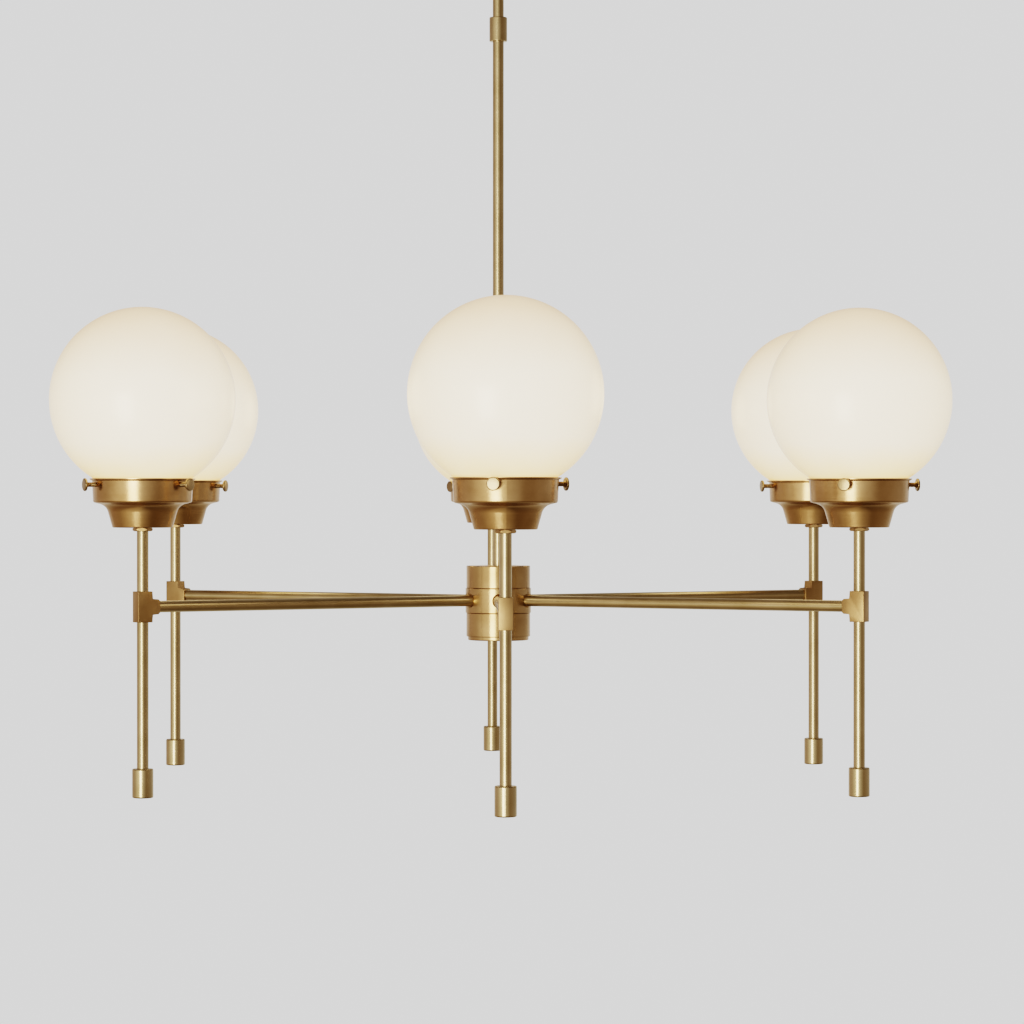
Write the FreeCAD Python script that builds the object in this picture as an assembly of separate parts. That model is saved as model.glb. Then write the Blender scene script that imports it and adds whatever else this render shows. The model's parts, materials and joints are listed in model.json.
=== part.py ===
"""Six-light branch chandelier: a ceiling canopy with a hang-straight swivel, a jointed stem, a turned hub
with six level tube arms, and at the end of each arm an upright rod with a glass globe on top."""
import FreeCAD, Part
import math
import os

# All sizes are in millimetres. The origin is on the stem's axis in the ceiling plane, and +Z is up.

# ---- clearances ----
thread_gap = 0.05        # between a screwed tube, nut or screw and its hole, on the radius
running_gap = 0.05       # between a turning or sliding piece and its hole, on the radius
axial_gap = 0.1          # beside a turning piece, along its axis
face_gap = 0.3           # between the swivel's disc and the collar above it
glass_gap = 0.3          # round the glass, which is never clamped hard
lamp_gap = 0.25          # round the lamp's cap in its holder
canopy_hole_gap = 0.3    # round the nipple in the canopy
tie_head_gap = 0.1       # round the tie screws' heads, on the radius
lip_play = 2.1           # round the globe's lip in its gallery, which its thumbscrews take up
overrun = 0.5            # how far a cutter passes the face that it leaves

# ---- brass tube of the stems, arms and rods ----
tube_diameter = 9.525    # 3/8 inch
tube_wall = 1.2

# ---- ceiling fixing ----
crossbar_end_wall = 2.55     # steel past the outer end of each slot
crossbar_width = 19.0
crossbar_thickness = 2.0
box_screw_spacing = 88.9     # 3 1/2 inch outlet box
box_slot_width = 4.8
box_slot_length = 11.0
ground_screw_offset = 22.0
ground_screw_diameter = 3.5
ground_head_diameter = 8.0
ground_head_height = 2.0
ground_head_edge = 1.0
ground_screw_length = 6.0
nipple_diameter = 10.0
nipple_bore = 7.0
nipple_above_ceiling = 8.0
nipple_in_collar = 9.0
nut_across_flats = 14.3      # 9/16 inch
nut_thickness = 3.0
canopy_diameter = 127.0      # 5 inch
canopy_depth = 25.0
canopy_wall = 1.2
canopy_rim_height = 5.0
canopy_shoulder_diameter = 100.0
canopy_shoulder_depth = 18.0
canopy_flat_diameter = 44.0
canopy_rim_rounding = 4.5
canopy_shoulder_rounding = 24.0
canopy_flat_rounding = 36.0

# ---- hang-straight swivel ----
collar_diameter = 22.0
collar_height = 16.0
collar_ledge = 3.0
swivel_neck_diameter = 7.0
swivel_flange_thickness = 2.5
swivel_wire_bore = 3.8
yoke_disc_thickness = 5.0
pin_drop = 11.0              # from the yoke's disc to the pin
pin_diameter = 5.0
pin_head_diameter = 8.0
pin_head_thickness = 1.6
pin_tail_diameter = 6.6
pin_tail_thickness = 0.8
pin_edge = 0.5
tongue_thickness = 8.0
tongue_width = 12.0
ear_thickness = 4.0
shank_drop = 9.0             # from the pin to the tongue's round shank
shank_diameter = 16.0
shank_height = 14.0
shank_socket_depth = 8.0
shank_wire_bore = 2.4
swivel_edge = 0.8

# ---- stem ----
upper_stem_exposed = 152.4   # 6 inch
lower_stem_exposed = 457.2   # 18 inch
coupling_diameter = 15.4
coupling_length = 21.0
coupling_socket_depth = 10.0
coupling_edge = 0.6

# ---- hub ----
band_diameter = 57.15        # 2 1/4 inch
band_height = 21.5
band_wall = 5.0
cap_diameter = 55.7
cap_wall = 4.3
top_cap_height = 19.6
bottom_cap_height = 20.7
cap_floor = 4.0
spigot_height = 2.0
spigot_wall = 1.6
groove_edge = 0.5            # the bevels that draw the grooves between the hub's rings
hub_edge = 0.8
stem_tail = 2.0              # stem end showing below its lock nut
arm_mouth_diameter = 12.4    # bevelled mouth of each arm's hole
arm_mouth_depth = 1.4
tie_screw_circle = 30.0
tie_screw_diameter = 4.0
tie_screw_engagement = 8.0
tie_head_diameter = 7.6
tie_head_height = 2.3
tie_head_edge = 0.6
tie_boss_diameter = 8.0
tie_boss_depth = 12.0
plate_diameter = 53.0
plate_thickness = 3.1
plate_edge = 0.8
plate_screw_diameter = 4.0
plate_screw_head = 7.8
plate_screw_head_height = 1.9

# ---- arms and tees ----
arm_count = 6
arm_exposed = 298.5
tee_width = 11.4
tee_depth = 12.7             # 1/2 inch
tee_height = 25.4            # 1 inch
tee_boss_length = 7.0
tee_boss_height = 12.4
tee_boss_bevel = 1.6
tee_rod_socket = 10.0
tee_arm_socket = 7.0
tee_edge = 0.4

# ---- rods and end caps ----
upper_rod_exposed = 49.4
lower_rod_exposed = 120.1
end_cap_diameter = 17.4
end_cap_length = 24.0
end_cap_socket = 16.0
end_cap_edge = 1.2

# ---- galleries ----
gallery_wall = 1.0
gallery_base_diameter = 49.2
gallery_base_edge = 1.2
cove_corner_diameter = 59.4  # where the cove's lower flare and its shoulder would meet
cove_corner_height = 18.1
cove_rounding = 9.0
gallery_neck_diameter = 82.4
gallery_wall_lean = 0.8      # the upright wall widens this much on its way up
gallery_step_height = 20.8
gallery_step_rounding = 1.8
gallery_bead_reach = 2.0     # how far the rim's bead stands out from the wall
gallery_bead_height = 1.8
gallery_bead_inner_bend = 0.5
gallery_bead_outer_bend = 0.25
gallery_height = 40.3

# ---- globes ----
globe_diameter = 152.4       # 6 inch
glass_thickness = 3.0
ball_below_rim = 2.56        # where the ball leaves its neck, below the gallery's rim
lip_height = 4.5
lip_edge = 0.8
groove_depth = 2.1           # round the neck, for the thumbscrews' points
groove_slope = 1.5

# ---- thumbscrews ----
screws_per_gallery = 3
screw_below_rim = 5.1
screw_diameter = 4.0
screw_point_bevel = 0.6
screw_collar_diameter = 6.4
screw_collar_length = 1.4
screw_head_diameter = 10.6
screw_head_thickness = 2.0
screw_head_edge = 0.8
screw_head_from_wall = 7.5   # the head's inner face, outward of the gallery's wall
# each gallery is screwed onto its rod by hand, so its screws point their own way (degrees)
gallery_turns = (-12.0, -21.5, -79.0, -56.0, 71.0, 55.0)

# ---- lamp holders and lamps ----
holder_diameter = 38.0
holder_top_diameter = 35.0
holder_height = 40.0
holder_rod_socket = 10.0
holder_lamp_socket = 24.0
holder_edge = 1.5
lamp_cap_diameter = 26.0     # E26 cap
lamp_cap_length = 24.0
lamp_contact_diameter = 9.0
lamp_contact_height = 3.0
lamp_ball_diameter = 47.6
lamp_length = 86.0
lamp_neck_height = 29.0
lamp_glass = 0.8

# ---- sizes that follow ----
tube_radius = tube_diameter / 2
tube_hole = tube_radius + thread_gap
first_arm_angle = -90.0
arm_step = 360.0 / arm_count
gallery_wall_radius = gallery_neck_diameter / 2
crossbar_length = box_screw_spacing + box_slot_length + 2 * crossbar_end_wall
gallery_step_diameter = gallery_neck_diameter - 2 * gallery_wall_lean
gallery_rim_diameter = gallery_neck_diameter + 2 * gallery_bead_reach
lip_diameter = gallery_neck_diameter - 2 * (gallery_wall + lip_play)
groove_diameter = lip_diameter - 2 * groove_depth

collar_bottom = -canopy_depth - collar_height
disc_top = collar_bottom - face_gap
disc_bottom = disc_top - yoke_disc_thickness
pin_level = disc_bottom - pin_drop
shank_top = pin_level - shank_drop
shank_bottom = shank_top - shank_height
coupling_top = shank_bottom - upper_stem_exposed
coupling_bottom = coupling_top - coupling_length
hub_top = coupling_bottom - lower_stem_exposed
band_top = hub_top - top_cap_height
arm_level = band_top - band_height / 2
band_bottom = band_top - band_height
bottom_cap_bottom = band_bottom - bottom_cap_height
plate_bottom = bottom_cap_bottom - plate_thickness

tee_inner_face = tee_depth / 2 + tee_boss_length
rod_circle = band_diameter / 2 + arm_exposed + tee_inner_face
tee_top = arm_level + tee_height / 2
tee_bottom = arm_level - tee_height / 2
gallery_bottom = tee_top + upper_rod_exposed + nut_thickness
gallery_rim = gallery_bottom + gallery_height
ball_start = gallery_rim - ball_below_rim
globe_centre = ball_start + math.sqrt((globe_diameter / 2)**2 - (groove_diameter / 2)**2)
holder_bottom = gallery_bottom + gallery_wall
holder_top = holder_bottom + holder_height
lamp_bottom = holder_top - holder_lamp_socket + lamp_gap
end_cap_top = tee_bottom - lower_rod_exposed

UP = FreeCAD.Vector(0, 0, 1)
ACROSS = FreeCAD.Vector(1, 0, 0)
ALONG = FreeCAD.Vector(0, 1, 0)
NO_LENGTH = 1e-6         # anything shorter counts as nothing
SIDE_SHARE = 0.49        # a rounding takes less than half of each side that it joins
NUT_SIDES = 6


# ---- forms that several pieces share ----
def point(radius, height):
    """A point of a turned outline: its distance from the axis and its height."""
    return FreeCAD.Vector(radius, 0, height)


def rounded_outline(corners):
    """Closed wire through corners (radius, height) or (radius, height, rounding), with tangent arcs."""
    stops = []
    for i, corner in enumerate(corners):
        here = point(corner[0], corner[1])
        rounding = corner[2] if len(corner) > 2 else 0
        back = point(*corners[i - 1][:2]) - here
        ahead = point(*corners[(i + 1) % len(corners)][:2]) - here
        if rounding <= 0:
            stops.append((here, None, here))
            continue
        half = back.getAngle(ahead) / 2
        room = SIDE_SHARE * min(back.Length, ahead.Length)
        setback = min(rounding / math.tan(half), room)
        radius = setback * math.tan(half)
        back.normalize()
        ahead.normalize()
        middle = (back + ahead).normalize() * (radius / math.sin(half) - radius)
        stops.append((here + back * setback, here + middle, here + ahead * setback))
    edges = []
    for i, (start, middle, end) in enumerate(stops):
        if middle:
            edges.append(Part.Arc(start, middle, end).toShape())
        following = stops[(i + 1) % len(stops)][0]
        if end.distanceToPoint(following) > NO_LENGTH:
            edges.append(Part.LineSegment(end, following).toShape())
    return Part.Wire(edges)


def turned(corners, axis=UP, level=0.0):
    """A body turned on a lathe from its outline, lifted to level."""
    face = Part.Face(rounded_outline(corners))
    body = face.revolve(FreeCAD.Vector(), axis, 360)
    body.translate(UP * level)
    return body


def spun(path, wall, level):
    """A sheet spun over a former: path is its outer side, and wall its thickness to the path's left."""
    inner = []
    for i, corner in enumerate(path):
        here = point(*corner[:2])
        ways = []
        if i > 0:
            ways.append((here - point(*path[i - 1][:2])).normalize())
        if i < len(path) - 1:
            ways.append((point(*path[i + 1][:2]) - here).normalize())
        sides = [FreeCAD.Vector(-way.z, 0, way.x) for way in ways]
        shift = sides[0] if len(sides) == 1 else (sides[0] + sides[1]) / (1 + sides[0].dot(sides[1]))
        left_turn = len(ways) == 2 and ways[0].dot(sides[1]) < 0
        rounding = corner[2] if len(corner) > 2 else 0
        if rounding:
            rounding = max(rounding - wall, wall / 4) if left_turn else rounding + wall
        inner.append((here.x + shift.x * wall, here.z + shift.z * wall, rounding))
    return turned(list(path) + inner[::-1], level=level)


def rod(diameter, length, base, direction=UP):
    """A plain round bar."""
    return Part.makeCylinder(diameter / 2, length, base, direction)


def tube(length, base, direction=UP):
    """A length of the fitting's brass tube."""
    outside = rod(tube_diameter, length, base, direction)
    return outside.cut(rod(tube_diameter - 2 * tube_wall, length, base, direction))


def hex_nut(bore, level):
    """A thin hexagon nut, flat on its faces, with its lower face at level."""
    reach = nut_across_flats / 2 / math.cos(math.pi / NUT_SIDES)
    turns = [2 * math.pi * i / NUT_SIDES for i in range(NUT_SIDES)]
    corners = [FreeCAD.Vector(math.cos(turn), math.sin(turn), 0) * reach for turn in turns]
    body = Part.Face(Part.makePolygon(corners + corners[:1])).extrude(UP * nut_thickness)
    body = body.cut(rod(bore, nut_thickness, FreeCAD.Vector()))
    body.translate(UP * level)
    return body


def arm_angle(index):
    """Direction of an arm from the hub, seen from above."""
    return first_arm_angle + arm_step * index


def at_arm(shape, index):
    """A shape that stands on the Z axis, moved to the rod at the end of an arm."""
    moved = shape.copy()
    moved.translate(ACROSS * rod_circle)
    moved.rotate(FreeCAD.Vector(), UP, arm_angle(index))
    return moved


def round_the_arms(shape):
    """One copy of a shape at the end of each arm, as a group of separate solids."""
    return Part.makeCompound([at_arm(shape, i) for i in range(arm_count)])


# ---- ceiling fixing ----
def slot(length, width, centre_x):
    """A slot through the crossbar, with round ends."""
    between = length - width
    corner = FreeCAD.Vector(centre_x - between / 2, -width / 2, 0)
    body = Part.makeBox(between, width, crossbar_thickness, corner)
    for side in (-1, 1):
        end = FreeCAD.Vector(centre_x + side * between / 2, 0, 0)
        body = body.fuse(rod(width, crossbar_thickness, end))
    return body


def make_crossbar():
    """Steel strap under the outlet box: round ends, two slots for the box screws, two tapped holes."""
    bar = slot(crossbar_length, crossbar_width, 0)
    for side in (-1, 1):
        bar = bar.cut(slot(box_slot_length, box_slot_width, side * box_screw_spacing / 2))
    bar = bar.cut(rod(nipple_diameter + 2 * thread_gap, crossbar_thickness, FreeCAD.Vector()))
    ground_hole = ground_screw_diameter + 2 * thread_gap
    bar = bar.cut(rod(ground_hole, crossbar_thickness, ACROSS * ground_screw_offset))
    bar.translate(UP * -crossbar_thickness)
    return bar


def make_ground_screw():
    """Round-head grounding screw in the crossbar, driven from below."""
    head = ground_head_diameter / 2
    shank = ground_screw_diameter / 2
    low = -crossbar_thickness - ground_head_height
    top = ground_screw_length + ground_head_height
    corners = [(0, 0), (head, 0, ground_head_edge), (head, ground_head_height),
               (shank, ground_head_height), (shank, top), (0, top)]
    screw = turned(corners, level=low)
    screw.translate(ACROSS * ground_screw_offset)
    return screw


def make_nipple():
    """Threaded pipe that carries the fixture and lets the supply wires down."""
    low = -canopy_depth - nipple_in_collar
    length = nipple_above_ceiling - low
    base = FreeCAD.Vector(0, 0, low)
    return rod(nipple_diameter, length, base).cut(rod(nipple_bore, length, base))


def make_nipple_nut():
    """Lock nut that holds the nipple against the crossbar."""
    return hex_nut(nipple_diameter + 2 * thread_gap, -crossbar_thickness - nut_thickness)


def make_canopy():
    """Spun brass canopy: a shallow dome with its rim on the ceiling and a hole for the nipple."""
    path = [
        (nipple_diameter / 2 + canopy_hole_gap, -canopy_depth),
        (canopy_flat_diameter / 2, -canopy_depth, canopy_flat_rounding),
        (canopy_shoulder_diameter / 2, -canopy_shoulder_depth, canopy_shoulder_rounding),
        (canopy_diameter / 2, -canopy_rim_height, canopy_rim_rounding),
        (canopy_diameter / 2, 0),
    ]
    return spun(path, canopy_wall, 0)


# ---- hang-straight swivel ----
def make_swivel_collar():
    """Round collar that screws onto the nipple, holds the canopy up and carries the yoke on its ledge."""
    outer = collar_diameter / 2
    bore = nipple_diameter / 2 + thread_gap
    neck = swivel_neck_diameter / 2 + running_gap
    corners = [(neck, 0), (outer, 0, swivel_edge), (outer, collar_height, swivel_edge), (bore, collar_height),
               (bore, collar_ledge), (neck, collar_ledge)]
    return turned(corners, level=collar_bottom)


def ear(thickness, x_low, top):
    """A flat ear with a round end about the pin, standing from the pin up to top."""
    plate = Part.makeBox(thickness, tongue_width, top - pin_level,
                         FreeCAD.Vector(x_low, -tongue_width / 2, pin_level))
    return plate.fuse(rod(tongue_width, thickness, FreeCAD.Vector(x_low, 0, pin_level), ACROSS))


def make_swivel_yoke():
    """Fork that turns in the collar: a flange and neck above, a disc, and two ears for the pin."""
    flange = nipple_diameter / 2 - running_gap
    neck = swivel_neck_diameter / 2
    bore = swivel_wire_bore / 2
    disc = collar_diameter / 2
    flange_low = collar_bottom + collar_ledge + axial_gap - disc_bottom
    flange_high = flange_low + swivel_flange_thickness
    corners = [(bore, 0), (disc, 0, swivel_edge), (disc, yoke_disc_thickness, swivel_edge),
               (neck, yoke_disc_thickness), (neck, flange_low), (flange, flange_low), (flange, flange_high),
               (bore, flange_high)]
    yoke = turned(corners, level=disc_bottom)
    inner = tongue_thickness / 2 + axial_gap
    for x_low in (inner, -inner - ear_thickness):
        yoke = yoke.fuse(ear(ear_thickness, x_low, disc_bottom))
    reach = 2 * (inner + ear_thickness)
    hole = rod(pin_diameter + 2 * thread_gap, reach, FreeCAD.Vector(-reach / 2, 0, pin_level), ACROSS)
    return yoke.cut(hole).removeSplitter()


def make_swivel_pin():
    """Riveted pin through the yoke's ears and the tongue."""
    half = tongue_thickness / 2 + axial_gap + ear_thickness
    shank = pin_diameter / 2
    head = pin_head_diameter / 2
    tail = pin_tail_diameter / 2
    corners = [(0, -half - pin_head_thickness), (head, -half - pin_head_thickness, pin_edge), (head, -half),
               (shank, -half), (shank, half), (tail, half), (tail, half + pin_tail_thickness, pin_edge),
               (0, half + pin_tail_thickness)]
    pin = turned(corners)
    pin.rotate(FreeCAD.Vector(), ALONG, 90)
    pin.translate(UP * pin_level)
    return pin


def make_swivel_tongue():
    """Tongue that swings on the pin, with a round shank tapped for the stem and two wire holes."""
    shank = shank_diameter / 2
    low = -shank_height
    socket_top = low + shank_socket_depth
    corners = [(0, 0), (shank, 0, swivel_edge), (shank, low, swivel_edge), (tube_hole, low),
               (tube_hole, socket_top), (0, socket_top)]
    body = turned(corners, level=shank_top)
    plate = Part.makeBox(tongue_thickness, tongue_width, shank_drop,
                         FreeCAD.Vector(-tongue_thickness / 2, -tongue_width / 2, shank_top))
    end = rod(tongue_width, tongue_thickness, FreeCAD.Vector(-tongue_thickness / 2, 0, pin_level), ACROSS)
    body = body.fuse(plate).fuse(end)
    body = body.cut(rod(pin_diameter + 2 * running_gap, tongue_thickness,
                        FreeCAD.Vector(-tongue_thickness / 2, 0, pin_level), ACROSS))
    wire_x = (tongue_thickness / 2 + shank) / 2
    for side in (-1, 1):
        base = FreeCAD.Vector(side * wire_x, 0, shank_bottom + shank_socket_depth / 2)
        wire_hole = rod(shank_wire_bore, shank_height, base)
        body = body.cut(wire_hole)
    return body.removeSplitter()


# ---- stem ----
def make_upper_stem():
    """Short length of tube from the swivel to the coupling."""
    low = coupling_top - coupling_socket_depth
    return tube(shank_bottom + shank_socket_depth - low, FreeCAD.Vector(0, 0, low))


def make_stem_coupling():
    """Round coupling with a tube screwed into each end."""
    outer = coupling_diameter / 2
    bore = tube_radius - tube_wall
    upper = coupling_length - coupling_socket_depth
    corners = [(tube_hole, 0), (outer, 0, coupling_edge), (outer, coupling_length, coupling_edge),
               (tube_hole, coupling_length), (tube_hole, upper), (bore, upper),
               (bore, coupling_socket_depth), (tube_hole, coupling_socket_depth)]
    return turned(corners, level=coupling_bottom)


def make_lower_stem():
    """Long tube from the coupling down through the hub's top and its lock nut."""
    low = hub_top - cap_floor - nut_thickness - stem_tail
    return tube(coupling_bottom + coupling_socket_depth - low, FreeCAD.Vector(0, 0, low))


def make_stem_lock_nut():
    """Nut inside the hub, which holds the hub up on the stem."""
    return hex_nut(2 * tube_hole, hub_top - cap_floor - nut_thickness)


# ---- hub ----
def tie_points():
    """Where the two tie screws stand, turned half a step away from the arms."""
    angle = math.radians(first_arm_angle + arm_step / 2)
    reach = FreeCAD.Vector(math.cos(angle), math.sin(angle), 0) * (tie_screw_circle / 2)
    return reach, reach * -1


def hub_cup(height, floor_hole):
    """One of the hub's outer rings as a cup turned floor down, with a spigot that centres the middle band."""
    outer = cap_diameter / 2
    inner = outer - cap_wall
    spigot = band_diameter / 2 - band_wall - thread_gap
    corners = [(floor_hole, 0), (outer, 0, hub_edge), (outer, height - groove_edge),
               (outer - groove_edge, height), (spigot, height), (spigot, height + spigot_height),
               (spigot - spigot_wall, height + spigot_height), (spigot - spigot_wall, height - spigot_height),
               (inner, height - spigot_height * 2), (inner, cap_floor), (floor_hole, cap_floor)]
    return turned(corners)


def make_hub_top_cap():
    """Upper ring of the hub: closed on top round the stem, with two bosses tapped for the tie screws."""
    cup = hub_cup(top_cap_height, tube_hole)
    cup.rotate(FreeCAD.Vector(), ACROSS, 180)
    cup.translate(UP * hub_top)
    for at in tie_points():
        base = at + UP * (hub_top - cap_floor - tie_boss_depth)
        cup = cup.fuse(rod(tie_boss_diameter, tie_boss_depth, base))
        hole = rod(tie_screw_diameter + 2 * thread_gap, tie_screw_engagement, base)
        cup = cup.cut(hole)
    return cup.removeSplitter()


def make_hub_band():
    """Middle band of the hub: a thick ring with a bevelled hole for each arm."""
    outer = band_diameter / 2
    inner = outer - band_wall
    corners = [(inner, 0), (outer, 0, groove_edge), (outer, band_height, groove_edge), (inner, band_height)]
    band = turned(corners, level=band_bottom)
    hole_start = FreeCAD.Vector(inner - overrun, 0, arm_level)
    mouth_start = FreeCAD.Vector(outer - arm_mouth_depth, 0, arm_level)
    for i in range(arm_count):
        hole = rod(2 * tube_hole, band_wall + 2 * overrun, hole_start, ACROSS)
        mouth = Part.makeCone(tube_hole, arm_mouth_diameter / 2 + overrun,
                              arm_mouth_depth + overrun, mouth_start, ACROSS)
        opening = hole.fuse(mouth)
        opening.rotate(FreeCAD.Vector(), UP, arm_angle(i))
        band = band.cut(opening)
    return band


def make_hub_bottom_cap():
    """Lower ring of the hub: a cup with counterbored holes for the tie screws and a tapped centre."""
    cup = hub_cup(bottom_cap_height, plate_screw_diameter / 2 + thread_gap)
    cup.translate(UP * bottom_cap_bottom)
    for at in tie_points():
        base = at + UP * bottom_cap_bottom
        cup = cup.cut(rod(tie_screw_diameter + 2 * thread_gap, cap_floor, base))
        cup = cup.cut(rod(tie_head_diameter + 2 * tie_head_gap, tie_head_height, base))
    return cup


def make_hub_tie_screws():
    """Two long screws that draw the hub's three rings together; their heads lie under the bottom plate."""
    shank = tie_screw_diameter / 2
    head = tie_head_diameter / 2
    top = hub_top - cap_floor - tie_boss_depth + tie_screw_engagement - bottom_cap_bottom
    corners = [(0, 0), (head, 0, tie_head_edge), (head, tie_head_height), (shank, tie_head_height),
               (shank, top), (0, top)]
    screws = []
    for at in tie_points():
        screw = turned(corners, level=bottom_cap_bottom)
        screw.translate(at)
        screws.append(screw)
    return Part.makeCompound(screws)


def make_hub_bottom_plate():
    """Thin closing plate under the hub, countersunk for its screw."""
    outer = plate_diameter / 2
    hole = plate_screw_diameter / 2 + thread_gap
    sink = plate_screw_head / 2 + thread_gap
    corners = [(sink, 0), (outer, 0, plate_edge), (outer, plate_thickness), (hole, plate_thickness),
               (hole, plate_screw_head_height)]
    return turned(corners, level=plate_bottom)


def make_hub_plate_screw():
    """Countersunk screw that lies flush in the bottom plate."""
    shank = plate_screw_diameter / 2
    top = plate_thickness + cap_floor
    corners = [(0, 0), (plate_screw_head / 2, 0), (shank, plate_screw_head_height), (shank, top), (0, top)]
    return turned(corners, level=plate_bottom)


# ---- arms and tees ----
def make_arms():
    """Six level tubes from the hub's band to the tees."""
    start = band_diameter / 2 - band_wall
    length = band_wall + arm_exposed + tee_arm_socket
    arms = []
    for i in range(arm_count):
        arm = tube(length, FreeCAD.Vector(start, 0, arm_level), ACROSS)
        arm.rotate(FreeCAD.Vector(), UP, arm_angle(i))
        arms.append(arm)
    return Part.makeCompound(arms)


def make_tee():
    """Square-bar tee on the Z axis: a tall block with a bevelled boss that points back to the hub."""
    half = tee_depth / 2
    high = tee_height / 2
    boss = tee_boss_height / 2
    bevelled = boss - tee_boss_bevel
    outline = [
        (half, -high), (half, high), (-half, high), (-half, boss), (tee_boss_bevel - tee_inner_face, boss),
        (-tee_inner_face, bevelled), (-tee_inner_face, -bevelled), (tee_boss_bevel - tee_inner_face, -boss),
        (-half, -boss), (-half, -high),
    ]
    corners = [FreeCAD.Vector(x, -tee_width / 2, z) for x, z in outline]
    block = Part.Face(Part.makePolygon(corners + corners[:1])).extrude(ALONG * tee_width)
    sharp = [
        edge for edge in block.Edges
        if abs(edge.BoundBox.XLength) < NO_LENGTH and edge.BoundBox.XMin > half - NO_LENGTH
    ]
    block = block.makeFillet(tee_edge, sharp)
    for side in (-1, 1):
        socket = rod(2 * tube_hole, tee_rod_socket, FreeCAD.Vector(0, 0, side * high), UP * -side)
        block = block.cut(socket)
    block = block.cut(rod(tube_diameter - 2 * tube_wall, tee_height, FreeCAD.Vector(0, 0, -high)))
    block = block.cut(rod(2 * tube_hole, tee_arm_socket, ACROSS * -tee_inner_face, ACROSS))
    block = block.cut(rod(tube_diameter - 2 * tube_wall, tee_inner_face, ACROSS * -tee_inner_face, ACROSS))
    block.translate(UP * arm_level)
    return block


# ---- rods and end caps ----
def make_upper_rod():
    """Short tube from the tee up through the gallery into the lamp holder."""
    low = tee_top - tee_rod_socket
    return tube(holder_bottom + holder_rod_socket - low, FreeCAD.Vector(0, 0, low))


def make_lower_rod():
    """Longer tube that hangs from the tee to its end cap."""
    low = end_cap_top - end_cap_socket
    return tube(tee_bottom + tee_rod_socket - low, FreeCAD.Vector(0, 0, low))


def make_end_cap():
    """Plain turned cap, screwed onto the lower end of a rod."""
    outer = end_cap_diameter / 2
    floor = end_cap_length - end_cap_socket
    corners = [(0, 0), (outer, 0, end_cap_edge), (outer, end_cap_length, end_cap_edge),
               (tube_hole, end_cap_length), (tube_hole, floor), (0, floor)]
    return turned(corners, level=end_cap_top - end_cap_length)


# ---- galleries and globes ----
def shoulder_height(radius):
    """Height of the cove's upper slope above the gallery's base, on its outer side."""
    run = (gallery_step_diameter - cove_corner_diameter) / 2
    slope = (gallery_step_height - cove_corner_height) / run
    return cove_corner_height + (radius - cove_corner_diameter / 2) * slope


def gallery_shell():
    """Spun cup: flat base, concave cove, small step, upright wall and a beaded rim."""
    bead_radius = gallery_rim_diameter / 2
    bead_low = gallery_height - gallery_bead_height
    path = [
        (tube_radius + thread_gap, 0),
        (gallery_base_diameter / 2, 0, gallery_base_edge),
        (cove_corner_diameter / 2, cove_corner_height, cove_rounding),
        (gallery_step_diameter / 2, gallery_step_height, gallery_step_rounding),
        (gallery_wall_radius, bead_low, gallery_bead_inner_bend),
        (bead_radius, gallery_height - gallery_bead_height / 2, gallery_bead_outer_bend),
        (bead_radius, gallery_height),
    ]
    return spun(path, gallery_wall, gallery_bottom)


def screw_angle(index, number):
    """Direction of a thumbscrew from its globe's axis, seen from above."""
    return first_arm_angle + gallery_turns[index % len(gallery_turns)] + number * 360.0 / screws_per_gallery


def make_gallery(index):
    """One gallery at its arm, with its thumbscrew holes."""
    shell = gallery_shell()
    for number in range(screws_per_gallery):
        level = FreeCAD.Vector(0, 0, gallery_rim - screw_below_rim)
        hole = rod(screw_diameter + 2 * running_gap, gallery_rim_diameter, level, ACROSS)
        hole.rotate(FreeCAD.Vector(), UP, screw_angle(index, number) - arm_angle(index))
        shell = shell.cut(hole)
    return at_arm(shell, index)


def ball_arc(radius, start, end):
    """Edge along a ball about the globe's centre, between two points of its outline."""
    turns = [math.atan2(at[1] - globe_centre, at[0]) for at in (start, end)]
    half_way = sum(turns) / 2
    middle = point(radius * math.cos(half_way), globe_centre + radius * math.sin(half_way))
    return Part.Arc(point(*start), middle, point(*end)).toShape()


def make_globe():
    """Blown opal globe: a thin ball with a grooved neck and a rolled lip that stands in the gallery."""
    ball = globe_diameter / 2
    inside = ball - glass_thickness
    lip = lip_diameter / 2
    groove = groove_diameter / 2
    throat = groove - glass_thickness
    lip_low = gallery_bottom + shoulder_height(lip) + gallery_wall + glass_gap
    lip_high = lip_low + lip_height
    inner_join = globe_centre - math.sqrt(inside**2 - throat**2)
    neck = [(throat, inner_join), (throat, lip_low), (lip, lip_low), (lip, lip_high),
            (groove, lip_high + groove_slope), (groove, ball_start)]
    edges = [Part.LineSegment(point(*a), point(*b)).toShape() for a, b in zip(neck, neck[1:])]
    crown = (0, globe_centre + ball)
    inner_crown = (0, globe_centre + inside)
    edges.append(ball_arc(ball, neck[-1], crown))
    edges.append(Part.LineSegment(point(*crown), point(*inner_crown)).toShape())
    edges.append(ball_arc(inside, inner_crown, neck[0]))
    globe = Part.Face(Part.Wire(edges)).revolve(FreeCAD.Vector(), UP, 360)
    rim = [edge for edge in globe.Edges
           if abs(edge.BoundBox.ZLength) < NO_LENGTH and abs(edge.BoundBox.XMax - lip) < NO_LENGTH]
    return globe.makeFillet(lip_edge, rim)


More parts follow.
